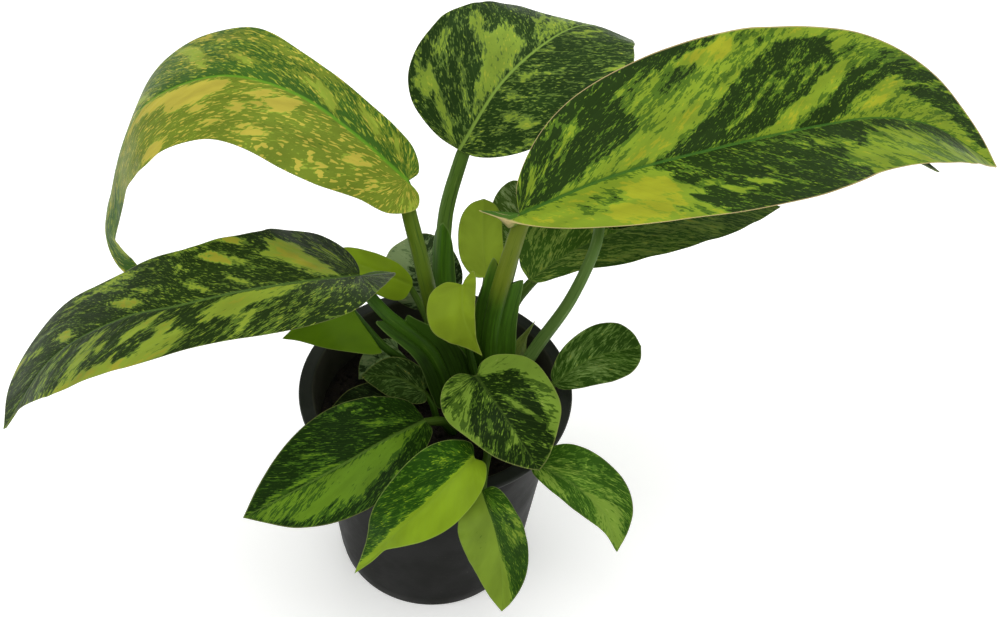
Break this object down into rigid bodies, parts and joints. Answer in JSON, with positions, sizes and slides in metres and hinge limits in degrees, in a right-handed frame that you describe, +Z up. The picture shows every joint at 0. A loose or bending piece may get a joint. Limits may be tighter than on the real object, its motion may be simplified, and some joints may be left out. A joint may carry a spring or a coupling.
{
  "type": "potted foliage plant",
  "caption": "Low rosette of broad variegated leaves on stout stalks, rising from soil in a round tapered nursery pot with a flat rim.",
  "frame": {"origin": "middle of the pot's flat underside", "axes": "+Z up along the pot's axis, -Y towards the side the plant is seen from, +X to its right"},
  "size_m": [0.504, 0.2473, 0.2797],
  "materials": {
    "pot_plastic": "black moulded nursery pot with a soft sheen",
    "potting_soil": "damp dark loose soil",
    "stem_green": "smooth firm green stem",
    "leaf_lime": "satin plain lime leaf",
    "leaf_dark": "satin dark green leaf with lime flecks",
    "leaf_streaked": "satin leaf, dark green streaked with lime",
    "leaf_olive": "satin olive leaf with yellow patches",
    "leaf_pale": "satin grey green leaf"
  },
  "bodies": {
    "root": {"pot": "pot_plastic", "soil": "potting_soil", "crown": "stem_green", "spear_lime": "leaf_lime", "leaf_arching_left": "leaf_olive", "leaf_low_left": "leaf_dark", "leaf_top": "leaf_streaked", "leaf_great_right": "leaf_streaked", "leaf_under_right": "leaf_dark", "leaf_rear_right": "leaf_dark", "leaf_small_rear": "leaf_dark", "leaf_lime_rear": "leaf_lime", "leaf_round_rear": "leaf_pale", "leaf_lime_left_rear": "leaf_lime", "leaf_lime_left": "leaf_lime", "leaf_heart_lime": "leaf_lime", "leaf_heart_front": "leaf_dark", "leaf_small_right": "leaf_dark", "leaf_front_left": "leaf_streaked", "leaf_front_two_tone": "leaf_lime", "leaf_front_hanging": "leaf_streaked", "leaf_front_right": "leaf_streaked", "leaf_inner_dark": "leaf_dark", "leaf_inner_pale": "leaf_pale", "leaf_inner_low": "leaf_dark"}
  },
  "joints": []
}
